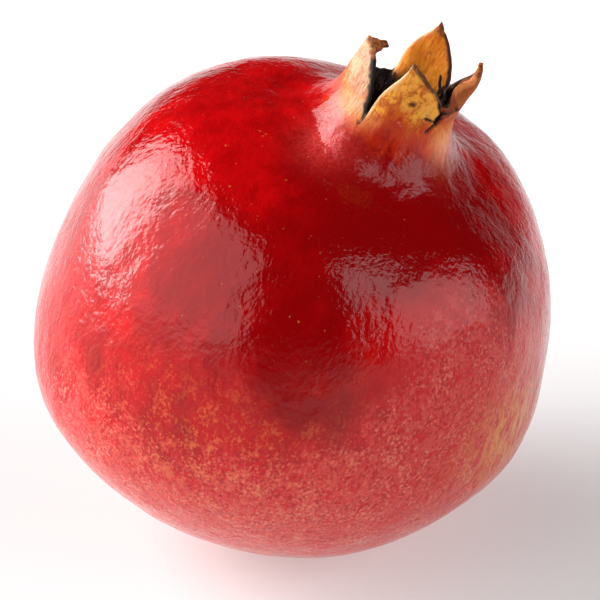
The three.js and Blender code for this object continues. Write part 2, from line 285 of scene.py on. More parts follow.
def column_edge(lobe, side, share):
    """Where a column ends: height above the ring, and how far it lies from the middle at foot and edge."""
    width = TUBE_RADIUS * math.radians(side["span"])
    reach = lobe["length"] - side["level"]
    top = side["level"] + reach * (1 - abs(share)) ** lobe["point"]
    foot = share * width
    edge = foot
    if top > 0 and abs(share) < 1:
        start = max(side["level"], 0)
        opened = 1 - (-side["level"] / reach) ** (1 / lobe["point"]) if side["level"] < 0 else 1
        height = min(max((top - start) / (lobe["length"] - start), 0), 1)
        roundness, taper = side["outline"]
        edge = side["sign"] * opened * width * (1 - height ** roundness) ** taper
    azimuth = math.radians(lobe["azimuth"]) + foot / TUBE_RADIUS
    spot = Vector((14 * math.cos(azimuth), 14 * math.sin(azimuth), 3.0))
    rough = noise.noise(spot * 0.8) + 0.6 * noise.noise(spot * 2.1)
    return top + lobe["ragged"] * rough * min(1, 4 * (1 - abs(share))), foot, edge


def lobe_points(lobe, rise, across):
    """Points at distances up and across a lobe, and the directions from them into the cup."""
    middle = math.radians(lobe["azimuth"])
    spine_radius, spine_height, tilt = spine_at(lobe, rise)
    curve = 1 / TUBE_RADIUS + lobe["cup"] * ease(rise / lobe["length"])
    faced = on_tube(-np.cos(tilt), middle, np.sin(tilt))
    sideways = on_tube(1.0, middle + math.pi / 2, 0.0)
    bend = curve * across
    points = (on_tube(spine_radius, middle, spine_height) + sideways * (np.sin(bend) / curve)[:, None]
              + faced * ((1 - np.cos(bend)) / curve)[:, None])
    return points, faced * np.cos(bend)[:, None] - sideways * np.sin(bend)[:, None]


def crown_column(k, side, share):
    """Points of one column up the outside, the matching inside, and what the materials need."""
    lobe = LOBES[k]
    middle = math.radians(lobe["azimuth"])
    top, foot, edge = column_edge(lobe, side, share)
    along = lerp(-CUP_DEPTH, top, np.linspace(0, 1, OUTER_ROWS + 1))
    rise = np.maximum(along, 0)
    length = max(lobe["length"], 1)
    across = lerp(foot, edge, ease(rise / top) if top > 0 else np.zeros_like(rise))
    angle = middle + across / TUBE_RADIUS
    radius = np.interp(TUBE_TOP + along, NECK_SAMPLES[:, 1], NECK_SAMPLES[:, 0])
    high, high_inwards = lobe_points(lobe, rise, across)
    below = (along < 0)[:, None]
    outer = np.where(below, on_tube(radius, angle, TUBE_TOP + along), high)
    inwards = np.where(below, on_tube(-1.0, angle, 0.0), high_inwards)
    wall = lerp(TUBE_RADIUS - CUP_RADIUS, LOBE_WALL, ease(rise / (WALL_THINS * length)))
    wall = np.where(along < 0, radius - CUP_RADIUS, wall)
    lip = LIP_WALL + side["torn"] * math.sqrt(abs(share))
    thickness = lerp(wall, lip, np.exp(-(top - along) / LIP_FADE))
    inner = outer + inwards * thickness[:, None]
    return {"azimuth": middle + foot / TUBE_RADIUS, "outer": outer, "inner": inner, "along": along,
            "edge": top - along, "tip": np.clip(along / length, 0, 1), "lobe": k}


# ---- Rind mesh ----
GRAIN_RADIUS = 46.0  # the grain's azimuth is laid out on a circle of this radius


def ring_faces(few, many):
    """Faces from a pole or a ring to the next ring, which has as many or twice as many columns."""
    a, b = len(few), len(many)
    faces = []
    for i in range(b if a == 1 else a):
        j = i + 1
        if a == 1:
            faces.append((few[0], many[j % b], many[i]))
        elif a == b:
            faces.append((few[i], few[j % a], many[j % b], many[i]))
        else:
            left, middle, right = many[2 * i], many[2 * i + 1], many[2 * j % b]
            faces += [(few[i], middle, left), (few[i], few[j % a], middle), (few[j % a], right, middle)]
    return faces


class Rings:
    """Rings of points from one pole to the other, with the faces between them."""

    def __init__(self):
        self.points = []
        self.marks = []
        self.faces = []
        self.last = None

    def add(self, points, **marks):
        start = sum(len(p) for p in self.points)
        count = len(points)
        self.points.append(np.asarray(points, float))
        self.marks.append({key: np.broadcast_to(value, count) for key, value in marks.items()})
        ring = range(start, start + count)
        if self.last and len(self.last) > count:
            self.faces += [face[::-1] for face in ring_faces(ring, self.last)]
        elif self.last:
            self.faces += ring_faces(self.last, ring)
        self.last = ring

    def collect(self):
        points = np.concatenate(self.points)
        return points, {name: np.concatenate([mark[name] for mark in self.marks]) for name in self.marks[0]}


def spread_columns(azimuths, share):
    """The crown's azimuths for a ring with half, as many or twice as many columns."""
    if share <= 1:
        return azimuths[::round(1 / share)]
    following = np.append(azimuths[1:], azimuths[0] + 2 * math.pi)
    return np.stack([azimuths, (azimuths + following) / 2], 1).ravel()


def add_body(rings, azimuths):
    """The dimple, the body and the neck, up to where the cup begins inside."""
    body = {"lobe": 0, "edge": FAR_FROM_EDGE, "tip": 0.0, "inner": 0.0}
    rings.add([(0, 0, DIMPLE_TOP)], azimuth=0.0, reach=POLE_REACH, **body)
    for (radius, height), share, reach in band_rings():
        angles = spread_columns(azimuths, share)
        points = press_flat(swell_body(on_tube(radius, angles, height)))
        rings.add(points, azimuth=angles, reach=reach, **body)


def add_rows(rings, stacked, shared, face, rows, inner):
    """Rings on one face of the crown at some rows of its columns, which may lie between their points."""
    for row in rows:
        low = min(int(row), OUTER_ROWS - 1)
        at = {key: lerp(values[:, low], values[:, low + 1], row - low) for key, values in stacked.items()}
        rings.add(at[face], reach=at["along"], edge=at["edge"], tip=at["tip"], inner=inner, **shared)


def add_lip(rings, stacked, shared):
    """The crown's rounded edge."""
    outer, inner = stacked["outer"][:, -1], stacked["inner"][:, -1]
    upwards = unit(outer - stacked["outer"][:, -2])
    for angle in LIP_ANGLES:
        share = (1 - math.cos(angle)) / 2
        rings.add(lerp(outer, inner, share) + upwards * LIP_RISE * math.sin(angle),
                  reach=stacked["along"][:, -1], edge=0.0, tip=stacked["tip"][:, -1], inner=share, **shared)


def add_floor(rings, stacked, shared):
    """The floor of the cup."""
    cup = {"reach": -CUP_DEPTH, "edge": FAR_FROM_EDGE, "tip": 0.0, "inner": 1.0}
    for share in FLOOR_SHARES:
        points = stacked["inner"][:, 0] * [share, share, 1] - [0, 0, CUP_DISH * (1 - share ** 2)]
        rings.add(points, **cup, **shared)
    rings.add([(0, 0, TUBE_TOP - CUP_DEPTH - CUP_DISH)], azimuth=0.0, lobe=0, **cup)


def rind_rings():
    columns = [crown_column(*column) for column in crown_columns()]
    azimuths = np.unwrap([c["azimuth"] for c in columns])
    stacked = {key: np.stack([c[key] for c in columns])
               for key in ("outer", "inner", "along", "edge", "tip")}
    shared = {"azimuth": azimuths, "lobe": [c["lobe"] for c in columns]}
    rings = Rings()
    add_body(rings, azimuths)
    add_rows(rings, stacked, shared, "outer", range(OUTER_ROWS + 1), 0.0)
    add_lip(rings, stacked, shared)
    add_rows(rings, stacked, shared, "inner", np.linspace(OUTER_ROWS, 0, INNER_ROWS + 1), 1.0)
    add_floor(rings, stacked, shared)
    return rings


def vertex_normals(points, faces):
    normals = np.zeros_like(points)
    for size in (3, 4):
        group = np.array([f for f in faces if len(f) == size])
        corners = points[group]
        around = np.cross(corners[:, 2] - corners[:, 0], corners[:, -1] - corners[:, 1])
        for corner in group.T:
            np.add.at(normals, corner, around)
    return unit(normals)


# Splits in the rind, as lines of (azimuth, height above the ring), with their half width and depth: five at
# the torn notch on the right, and one below the notch at 236 degrees.
SPLITS = [
    ([(306, 4.4), (305, 2.1), (302, 1.1), (298.5, 0.1)], 0.55, 0.8),
    ([(304, 2.2), (297, 2.3), (288, 2.8)], 0.34, 0.4),
    ([(306, 2.6), (312, 3.3), (326, 5.0)], 0.26, 0.4),
    ([(305, 1.9), (303, 2.8)], 0.80, 0.8),
    ([(304, 4.3), (299, 5.0), (292, 6.0)], 0.75, 0.3),
    ([(236, -1.0), (235, -2.6)], 0.30, 0.6),
]


def split_depth(azimuth, reach):
    """How deep each point lies in a split, and how much of its dark colour it takes."""
    depth = np.zeros_like(reach)
    dark = np.zeros_like(reach)
    x = TUBE_RADIUS * (azimuth % (2 * math.pi))
    ragged = 0.22 * noise_at(on_tube(13.0, azimuth, 1.3 * reach))
    for line, half, deep in SPLITS:
        line = [(TUBE_RADIUS * math.radians(a), h) for a, h in line]
        nearest = np.full_like(reach, 99.0)
        for (x0, y0), (x1, y1) in zip(line, line[1:]):
            along = ((x - x0) * (x1 - x0) + (reach - y0) * (y1 - y0)) / ((x1 - x0) ** 2 + (y1 - y0) ** 2)
            along = np.clip(along, 0, 1)
            away = np.hypot(x - lerp(x0, x1, along), reach - lerp(y0, y1, along))
            nearest = np.minimum(nearest, away)
        nearest = nearest + ragged * (nearest < 3)
        depth = np.maximum(depth, deep * ease(1 - nearest / (1.3 * half)))
        dark = np.maximum(dark, ease(1.6 - 1.3 * nearest / half))
    return depth, dark


# Low swellings of the neck: azimuth, height above the ring, rise, half width round and along the neck.
NECK_SWELLS = [(236, -6.5, 1.4, 5.0, 4.5), (292, -8.5, 0.6, 4.0, 5.0), (20, -10.0, 0.3, 5.0, 5.0)]


def neck_swell(place, azimuth, reach):
    radius = np.hypot(place[:, 0], place[:, 1])
    swell = np.zeros_like(reach)
    for centre, height, rise, wide, tall in NECK_SWELLS:
        across = radius * np.radians(azimuth_gap(azimuth, centre))
        swell += rise * np.exp(-(across / wide) ** 2 - ((reach - height) / tall) ** 2)
    return swell


def rind_relief(place, grain, marks):
    """Height of the rind's relief at each point, in millimetres."""
    reach, inner, tip = marks["reach"], marks["inner"], marks["tip"]
    # where each kind of relief lies, by the height above the ring
    body = 1 - ease((reach + 12) / 10)
    neck = ease((reach + 22) / 12) * (1 - inner)
    poles = ease((reach + 138) / 14)
    waves = noise_at(place, (8.0, 8.0, 11.0))
    dents = noise_at(place, (3.6, 3.6, 4.8), 31.0)
    leather = noise_at(place, (1.7, 1.7, 2.2), 7.0)
    streaks = noise_at(grain, (6.0, 6.0, 9.0), 53.0)
    veins = noise_at(grain, (3.4, 3.4, 6.0), 71.0)
    crumple = noise_at(place, 1.1, 13.0)
    relief = body * poles * (0.17 * waves + 0.10 * dents + 0.055 * leather)
    relief += neck * (0.07 * streaks + 0.09 * dents + 0.05 * leather)
    relief += inner * 0.12 * veins
    relief += (1 - inner) * (reach < 2) * neck_swell(place, marks["azimuth"], reach) * ease((2 - reach) / 4)
    return relief + 0.6 * ease((tip - 0.72) / 0.2) * crumple * (reach > 6)


def make_rind():
    rings = rind_rings()
    points, marks = rings.collect()
    azimuth, reach = marks["azimuth"], marks["reach"]
    grain = on_tube(GRAIN_RADIUS, azimuth, reach)
    normals = vertex_normals(points, rings.faces)
    relief = rind_relief(points, grain, marks)
    depth, dark = split_depth(azimuth, reach)
    outside = marks["inner"] < 0.2
    moved = points + normals * (relief - depth * outside)[:, None]
    above = moved @ UP + REST_HEIGHT
    moved -= np.minimum(above, 0)[:, None] * UP
    flat = (points @ UP + REST_HEIGHT) < FLAT_WITHIN
    moved[flat] = points[flat]
    piece = make_object("fruit_skin", moved, rings.faces)
    looks = {"grain": grain, "place": points, "outwards": unit(points @ LEAN.T), "reach": reach,
             "inner": marks["inner"], "split": dark * outside, "spot": brown_spot(azimuth, reach) * outside,
             "peach": pale_patch(azimuth, reach) * outside, **lobe_marks(marks, points)}
    for name, values in looks.items():
        store(piece.data, name, values)
    return piece


# ---- Colours ----


def srgb(*colour):
    """A colour given as 0 to 255 on a screen, as linear light."""
    return np.array([c / 255 / 12.92 if c <= 10 else ((c / 255 + 0.055) / 1.055) ** 2.4 for c in colour])


CREAM = srgb(220, 154, 98)
PALE_CREAM = srgb(232, 190, 142)
PEACH = srgb(240, 158, 90)
OCHRE = srgb(250, 172, 58)
TAN = srgb(190, 130, 70)
RUST = srgb(150, 66, 22)
BROWN = srgb(96, 54, 26)
# Near-black: the dried skin's darkest brown, and painted shade in the cup and on lobe insides that lie in
# shade.
UMBER_AND_SHADE = srgb(26, 13, 9)
# How each lobe looks: its face outside and inside, its rim before and after the tip and how wide that is,
# from what share of its length the tip has dried brown, how high the cup's near-black reaches, and how
# mottled it is. The near-black in the cup and on the insides of the left lobe and the left stub is partly
# dark dried skin and partly painted shade. The rims are partly the dried edges' own colour and partly
# painted light and shade on
# the lip: pale on the front lobe's lit left edge, dark on edges of the left and right lobes that lie in
# shade.
LOOK_FIELDS = ("outside", "inside", "rim_before", "wide_before", "rim_after", "wide_after",
               "brown_from", "cup_shade_to", "mottled")
LOBE_LOOKS = {
    "front": (OCHRE, RUST, PALE_CREAM, 1.0, BROWN, 0.5, 0.95, 1.0, 1.0),
    "stub_right": (srgb(196, 92, 52), srgb(120, 50, 26), UMBER_AND_SHADE, 0.4, UMBER_AND_SHADE, 0.4, 0.9, 3.4, 1.0),
    "right": (srgb(156, 82, 20), srgb(160, 62, 16), srgb(214, 132, 70), 0.3, BROWN, 1.0, 0.74, 6.5, 1.0),
    "back": (TAN, srgb(255, 150, 22), srgb(74, 36, 28), 0.35, srgb(232, 170, 120), 0.4, 0.8, 1.0, 0.5),
    "stub_left": (TAN, UMBER_AND_SHADE, UMBER_AND_SHADE, 0.8, UMBER_AND_SHADE, 0.8, 0.9, 1.0, 1.0),
    "left": (srgb(208, 162, 126), UMBER_AND_SHADE, CREAM, 0.4, UMBER_AND_SHADE, 0.9, 0.66, 3.0, 0.65),
}
SPOT = (268, 5.2, 0.45)  # a brown spot on the front lobe: azimuth, height above the ring, radius
# Where the neck is palest, and where the red climbs highest: azimuth, height above the ring, half width in
# degrees and half height in millimetres.
PALE_PATCHES = [(326, -1.8, 15, 3.5), (224, -0.6, 24, 2.4)]
RED_PATCHES = [(266, 0.4, 12, 2.8)]


def azimuth_gap(azimuth, centre):
    """Degrees from a centre azimuth, between -180 and 180."""
    return (np.degrees(azimuth) - centre + 180) % 360 - 180


def brown_spot(azimuth, reach):
    centre, height, radius = SPOT
    away = np.hypot(TUBE_RADIUS * np.radians(azimuth_gap(azimuth, centre)), reach - height)
    return ease(1.8 - away / radius)


def patch(azimuth, reach, centre, height, wide, tall):
    return np.exp(-(azimuth_gap(azimuth, centre) / wide) ** 2 - ((reach - height) / tall) ** 2)


def pale_patch(azimuth, reach):
    """1 where the neck is palest, -1 where the red climbs highest up it."""
    return (np.max([patch(azimuth, reach, *spot) for spot in PALE_PATCHES], 0)
            - np.max([patch(azimuth, reach, *spot) for spot in RED_PATCHES], 0))


def lobe_marks(marks, place):
    """Each lobe's colour, darkened deep in the cup partly as painted shade, and where its rim and its tip
    change colour: the rim partly dried and partly painted light and shade, the tip dried.
    """
    index = marks["lobe"].astype(int)
    azimuth, reach, inner = marks["azimuth"], marks["reach"], marks["inner"]
    look = {field: np.array([LOBE_LOOKS[lobe["name"]][i] for lobe in LOBES])[index]
            for i, field in enumerate(LOOK_FIELDS)}
    lobe_colour_and_shade = lerp(look["outside"], look["inside"], ease(inner)[:, None])
    # Painted shade: the cup's inside darkens to near-black lower down, partly the dried skin's own dark
    # brown.
    deep = ease((look["cup_shade_to"] - reach) / 3.5) * inner
    lobe_colour_and_shade = lerp(lobe_colour_and_shade, UMBER_AND_SHADE, deep[:, None])
    middles = np.array([lobe["azimuth"] for lobe in LOBES])[index]
    past = azimuth_gap(azimuth, middles) > 0
    width = np.where(past, look["wide_after"], look["wide_before"])
    ragged = noise_at(place, 0.8, 91.0)
    rim = ease(1.6 - (marks["edge"] + 0.5 * width * ragged) / width) * ease((reach + 6) / 2.5)
    torn = np.array([lobe["name"] == "stub_right" for lobe in LOBES])[index]
    rim *= 1 - torn * ease(3 * inner)
    # Rim colours: partly dried edges, partly painted light on lit lips and painted shade on lips in shade.
    rim_colour_and_shade = np.where(past[:, None], look["rim_after"], look["rim_before"])
    tip = ease((marks["tip"] + 0.10 * ragged - look["brown_from"]) / 0.07) * ease((reach - 4) / 2)
    return {"lobe_colour_and_shade": lobe_colour_and_shade, "rim": rim, "mottled": look["mottled"], "rim_colour_and_shade": rim_colour_and_shade, "tip": tip}


# ---- Node helpers ----


class Nodes:
    """Short ways to add nodes to one material."""

    def __init__(self, name):
        self.material = bpy.data.materials.new(name)
        self.material.use_nodes = True
        self.tree = self.material.node_tree
        self.shader = self.tree.nodes["Principled BSDF"]

    def add(self, kind, inputs=(), **settings):
        node = self.tree.nodes.new(kind)
        for key, value in settings.items():
            setattr(node, key, value)
        for key, value in dict(inputs).items():
            self.set(node.inputs[key], value)
        return node

    def set(self, socket, value):
        if isinstance(value, bpy.types.NodeSocket):
            self.tree.links.new(value, socket)
        elif socket.type == "RGBA":
            socket.default_value = (*value, 1.0)
        else:
            socket.default_value = value

    def shade(self, inputs):
        """Set the shader's inputs, and give back the material."""
        for name, value in inputs.items():
            self.set(self.shader.inputs[name], value)
        return self.material

    def attribute(self, name, output="Fac"):
        return self.add("ShaderNodeAttribute", attribute_name=name).outputs[output]

    def math(self, operation, a, b=0.0):
        return self.add("ShaderNodeMath", {0: a, 1: b}, operation=operation).outputs[0]

    def times(self, *factors):
        total = factors[0]
        for factor in factors[1:]:
            total = self.math("MULTIPLY", total, factor)
        return total

    def weighted(self, *terms):
        """The sum of values, each times its weight."""
        total = 0.0
        for value, weight in terms:
            node = self.add("ShaderNodeMath", {0: value, 1: weight, 2: total}, operation="MULTIPLY_ADD")
            total = node.outputs[0]
        return total

    def ramp(self, value, low, high, start=0.0, end=1.0):
        """Smoothly from start at low to end at high."""
        inputs = {0: value, 1: low, 2: high, 3: start, 4: end}
        return self.add("ShaderNodeMapRange", inputs, interpolation_type="SMOOTHSTEP").outputs[0]

    def mix(self, share, a, b):
        return self.add("ShaderNodeMix", {0: share, 6: a, 7: b}, data_type="RGBA").outputs[2]

    def paint(self, colour, *layers):
        """A colour with others laid over it one after another, each by its share."""
        for share, shade in layers:
            colour = self.mix(share, colour, shade)
        return colour

    def noise(self, vector, sizes, shift, detail, roughness, distortion=0.0):
        """Noise with a feature size along each direction, shifted away from the other noises."""
        mapping = {"Vector": vector, "Scale": [1 / size for size in sizes], "Location": [shift] * 3}
        inputs = {"Vector": self.add("ShaderNodeMapping", mapping).outputs[0], "Scale": 1.0,
                  "Detail": detail, "Roughness": roughness, "Distortion": distortion}
        return self.add("ShaderNodeTexNoise", inputs).outputs[0]

    def bump(self, height, strength, distance, normal=None):
        inputs = {"Height": height, "Strength": strength, "Distance": distance}
        if normal is not None:
            inputs["Normal"] = normal
        return self.add("ShaderNodeBump", inputs).outputs[0]

    def dot(self, a, b):
        return self.add("ShaderNodeVectorMath", {0: a, 1: b}, operation="DOT_PRODUCT").outputs["Value"]

    def near(self, vector, centre, spread):
        """1 at a direction, falling away with the angle from it in degrees."""
        away = self.math("SUBTRACT", self.dot(vector, centre), 1.0)
        return self.math("EXPONENT", self.math("MULTIPLY", away, 1 / math.radians(spread) ** 2))

    def zones(self, vector, zones):
        """How near the vector is to each of some directions, with its weight."""
        return [(self.near(vector, centre, spread), weight) for centre, spread, weight in zones]


def towards(x, y, z):
    """A direction from the fruit's middle in the model's frame, with the camera towards -y and up."""
    return Vector((x, y, z)).normalized()


DARK_FRONT = towards(0.02, -0.906, 0.4235)
DARK_LOW = towards(-0.07, -0.991, 0.114)
# Painted light: the red lightened on the right front, where the right window lights it.
PAINTED_LIGHT_RIGHT = towards(0.41, -0.835, 0.36)
ORANGE_PATCH = towards(-0.30, -0.94, -0.10)
YELLOW_PATCH = towards(0.82, -0.513, -0.254)
# Painted shade: the right side's red darkened against the right window's light.
PAINTED_SHADE_RIGHT = towards(0.755, -0.636, -0.161)
# Where a painted highlight lies, on the neck's left.
NECK_LEFT = towards(0.135, -0.325, 0.936)
PALE_UP = towards(0.0, 0.15, 0.99)
# Zones as (direction, spread in degrees, weight). The first table sets how dark the red is: partly the
# skin's own darker crimson, and partly painted shade and painted light by direction, with the upper right
# and the back left darkened further as painted shade where the right and left windows light them, and the
# right front lightened as painted light. The second table darkens the left the same way, as painted shade
# on the left flank.
# The third is what is added to the height that decides how pale and flecked it is.
CRIMSON_SHADE_AND_LIGHT_ZONES = [
    (DARK_FRONT, 19, 0.8), (towards(0.527, -0.466, 0.711), 19, 1.42), (PAINTED_LIGHT_RIGHT, 12.5, -0.95),
    (ORANGE_PATCH, 13, -0.4), (DARK_LOW, 13, 0.3), (towards(-0.73, 0.66, 0.18), 38, 0.6),
]
# Painted shade on the left flank, where the left windows light it most.
LEFT_SHADE_ZONES = [(towards(-0.755, -0.65, 0.083), 24, 0.45), (towards(-0.592, 0.17, 0.787), 18, 0.5)]
HEIGHT_ZONES = [(DARK_FRONT, 26, 0.30), (DARK_LOW, 13, 0.33), (towards(0.60, -0.78, 0.20), 26, -0.42)]

# A painted highlight: pink laid on the neck's left where the left windows reflect.
NECK_PAINTED_HIGHLIGHT = srgb(246, 84, 78)
SCARLET = srgb(210, 6, 11)
CRIMSON = srgb(152, 1, 4)
PALE_RED = srgb(218, 14, 25)
FLECK_LOW = srgb(226, 74, 68)
FLECK_PALE = srgb(240, 138, 112)
PIT_RED = srgb(170, 6, 22)
# The deep red of the painted shade on the right side.
PAINTED_SHADE_RED = srgb(112, 0, 8)
ORANGE = srgb(236, 118, 62)
YELLOW = srgb(214, 142, 66)
NECK_ORANGE = srgb(206, 52, 8)
NECK_GOLD = srgb(226, 110, 18)
MOTTLE = srgb(190, 66, 8)
BURNT = (srgb(176, 96, 36), srgb(80, 42, 20))
SPOT_BROWN = srgb(96, 44, 14)
SPLIT_BLACK = srgb(12, 5, 4)

RIND_IOR = 1.385
DRY_RIND_ROUGHNESS = 0.7
SUBSURFACE = 0.4  # of the lobes only
SUBSURFACE_RADIUS = (1.0, 0.45, 0.12)
SUBSURFACE_SCALE = 0.002
LEATHER_DEPTH = 0.00016  # depths of the fine relief, in metres
PORE_DEPTH = 0.00006
FIBRE_DEPTH = 0.0003
DRY_ROUGHNESS = 0.85
DRY_STREAK_DEPTH = 0.00025
DRY_FLECK_DEPTH = 0.0001


def body_flecks(n, place, low, noises, colour):
    """Coral and pale flecks and dark pits, more of them lower down."""
    grains, clumps, cloud = noises
    flecks = n.weighted((grains, 0.42), (clumps, 0.58), (low, 0.10))
    pale = n.weighted((grains, 0.65), (cloud, 0.35), (low, 0.05))
    pits = n.noise(place, (0.6, 0.6, 0.8), 33, 3, 0.6)
    return n.paint(
        colour,
        (n.times(n.ramp(flecks, 0.47, 0.61), n.ramp(low, 0.02, 0.45), 0.85), FLECK_LOW),
        (n.times(n.ramp(pale, 0.55, 0.66), n.ramp(low, 0.0, 0.35), 0.8), FLECK_PALE),
        (n.times(n.ramp(pits, 0.49, 0.64), n.ramp(low, 0.0, 0.3), 0.7), PIT_RED))


def body_colour(n, place, grain, outwards):
    """Scarlet and crimson above, and below them a paler red more and more flecked with orange, with painted
    shade, painted light and a painted highlight laid on by direction.
    """
    broad = n.noise(place, (18, 18, 22), 0, 3, 0.55)
    cloud = n.noise(place, (4.5, 4.5, 7), 5, 4, 0.6)
    grains = n.noise(place, (0.6, 0.6, 0.75), 9, 4, 0.7)
    clumps = n.noise(place, (2.4, 2.4, 3.2), 3, 4, 0.65, 0.5)
    uneven = n.weighted((broad, 1.3), (cloud, 0.8), (1.0, -1.05))
    # Painted shade: the left flank's red darkened where the left windows light it most.
    left = n.weighted(*n.zones(outwards, LEFT_SHADE_ZONES))
    # How dark the red is: partly the skin's own crimson patches, partly painted shade and painted light by
    # direction.
    dark = n.weighted(*n.zones(outwards, CRIMSON_SHADE_AND_LIGHT_ZONES), (left, 1.0), (uneven, 1.6))
    height = n.weighted((n.dot(outwards, PALE_UP), 1.0), (uneven, 0.6), *n.zones(outwards, HEIGHT_ZONES))
    # Painted highlight: pink on the neck's left, grainy like the sheen there.
    painted_highlight = n.times(n.near(outwards, NECK_LEFT, 5), n.ramp(grains, 0.3, 0.7, 0.25, 1.0), 0.6)
    colour = n.paint(
        SCARLET,
        (n.ramp(dark, -0.15, 1.0), CRIMSON),
        (n.ramp(n.weighted((height, 1.0), (left, 0.08)), 0.15, -0.5), PALE_RED),
        # painted highlight on the neck's left
        (painted_highlight, NECK_PAINTED_HIGHLIGHT))
    low = n.ramp(n.weighted((height, 1.0), (left, 0.10)), 0.25, -0.60)
    colour = body_flecks(n, place, low, (grains, clumps, cloud), colour)
    warm = n.weighted((grains, 0.55), (clumps, 0.45))
    warm = n.times(n.ramp(warm, 0.49, 0.62), n.ramp(height, 0.5, 0.12))
    streak = n.noise(grain, (1.5, 1.5, 4.0), 21, 4, 0.6, 0.3)
    specks = n.noise(place, (0.8, 0.8, 0.9), 61, 1, 0.5)
    return n.paint(
        colour,
        # painted shade on the right side, in a deep red
        (n.times(n.near(outwards, PAINTED_SHADE_RIGHT, 34), 0.3), PAINTED_SHADE_RED),
        (n.times(n.near(outwards, ORANGE_PATCH, 18), warm, 0.66), ORANGE),
        (n.times(n.near(outwards, YELLOW_PATCH, 9), n.ramp(streak, 0.36, 0.6), 0.85), YELLOW),
        (n.ramp(specks, 0.75, 0.81, 0.0, 0.35), YELLOW))


def crown_mottling(n, place, reach, fibres, colour):
    """Orange blotches, pale gaps between them, rusty fibres and brown spots on the lobes."""
    on_crown = n.times(n.ramp(reach, -3.0, 1.0), n.attribute("mottled"))
    mottle = n.noise(place, (2.2, 2.2, 2.6), 37, 5, 0.7, 0.6)
    spots = n.noise(place, (0.7, 0.7, 0.8), 41, 2, 0.5)
    layers = ((mottle, 0.47, 0.62, 0.8, MOTTLE), (mottle, 0.42, 0.3, 0.5, PALE_CREAM),
              (fibres, 0.5, 0.72, 0.5, RUST), (spots, 0.66, 0.74, 0.8, BROWN))
    return n.paint(colour, *((n.times(on_crown, n.ramp(pattern, start, full, 0.0, most)), shade)
                             for pattern, start, full, most, shade in layers))


def crown_colour(n, place, reach, fibres, colour):
    """Orange and yellow at the top of the neck, and each lobe's own dried colour above them, with painted
    shade deep in the cup and painted light and shade on the rims.
    """
    streaks = n.noise(place, (1.1, 1.1, 4.0), 17, 4, 0.6, 0.4)
    blotch = n.noise(place, (4.0, 4.0, 4.0), 23, 4, 0.6)
    peach = n.attribute("peach")
    rise = n.weighted((reach, 1.0), (streaks, 7.0), (blotch, 9.0), (peach, 3.0), (1.0, -8.0))
    lobe_colour_and_shade = n.attribute("lobe_colour_and_shade", "Vector")
    colour = n.paint(
        colour,
        (n.times(n.ramp(rise, -6.0, -2.0), 0.8), NECK_ORANGE),
        (n.times(n.ramp(rise, -2.0, 1.5), 0.9), NECK_GOLD),
        (n.times(peach, 0.8), PEACH),
        # each lobe's colour, with painted shade deep in the cup
        (n.ramp(rise, 0.5, 4.0), lobe_colour_and_shade),
        (n.ramp(n.attribute("inner"), 0.2, 0.8), lobe_colour_and_shade))
    return n.paint(
        crown_mottling(n, place, reach, fibres, colour),
        # rims: partly dried edges, partly painted light and shade
        (n.attribute("rim"), n.attribute("rim_colour_and_shade", "Vector")),
        (n.attribute("tip"), n.mix(n.ramp(fibres, 0.38, 0.62), *BURNT)),
        (n.attribute("spot"), SPOT_BROWN),
        (n.attribute("split"), SPLIT_BLACK))


def rind_material():
    n = Nodes("pomegranate_rind")
    grain, place, outwards = (n.attribute(name, "Vector") for name in ("grain", "place", "outwards"))
    reach = n.attribute("reach")
    fibres = n.noise(place, (0.45, 0.45, 3.2), 29, 4, 0.65)
    dry = n.math("MAXIMUM", n.ramp(reach, -5.0, 2.0), n.attribute("inner"))
    dry = n.math("MAXIMUM", dry, n.attribute("split"))
    patches = n.noise(grain, (11, 11, 14), 2, 3, 0.6)
    gloss = n.math("ADD", n.ramp(patches, 0.3, 0.7, 0.11, 0.17), n.ramp(reach, -16.0, -8.0, 0.0, 0.08))
    pores = n.noise(place, (0.5, 0.5, 0.6), 11, 2, 0.5)
    leather = n.noise(place, (1.1, 1.1, 1.5), 19, 2, 0.5)
    normal = n.bump(leather, 1.0, LEATHER_DEPTH)
    normal = n.bump(pores, 0.5, PORE_DEPTH, normal)
    return n.shade({
        "Base Color": crown_colour(n, place, reach, fibres, body_colour(n, place, grain, outwards)),
        "Roughness": n.add("ShaderNodeMix", {0: dry, 2: gloss, 3: DRY_RIND_ROUGHNESS}).outputs[0],
        "IOR": RIND_IOR,
        "Subsurface Weight": n.ramp(reach, 2.0, 5.0, 0.0, SUBSURFACE),
        "Subsurface Radius": SUBSURFACE_RADIUS,
        "Subsurface Scale": SUBSURFACE_SCALE,
        "Normal": n.bump(n.times(fibres, dry), 0.8, FIBRE_DEPTH, normal)})


def dry_material(name, dark, light, sizes):
    """Dry fibrous matter: two browns in streaks, matt and rough."""
    n = Nodes(name)
    grain = n.attribute("grain", "Vector")
    streaks = n.noise(grain, sizes, 0, 4, 0.65, 0.3)
    flecks = n.noise(grain, [0.5 * size for size in sizes], 7, 3, 0.6)
    colour = n.mix(n.ramp(streaks, 0.35, 0.7), dark, light)
    return n.shade({
        "Base Color": n.mix(n.ramp(flecks, 0.6, 0.8, 0.0, 0.6), colour, dark),
        "Roughness": DRY_ROUGHNESS,
        "Normal": n.bump(streaks, 0.7, DRY_STREAK_DEPTH, n.bump(flecks, 0.4, DRY_FLECK_DEPTH))})


# ---- Stamens ----
SEED = 11
PAD = {"radius": 7.4, "base": TUBE_TOP - CUP_DEPTH + 0.4, "height": 2.4}
PAD_SINKS = 0.4  # how far below its base the pad's middle reaches
PAD_RIM = 0.5  # the height of its rim
FILAMENT_RINGS = [  # count, radius, length, tilt outwards
    (52, 6.4, 6.4, -14), (44, 5.4, 6.4, -9), (36, 4.2, 6.2, -2), (24, 2.8, 5.8, 4), (14, 1.5, 5.4, 8),
]
FILAMENT_RADIUS = 0.13
BEAD_RADIUS = 0.34
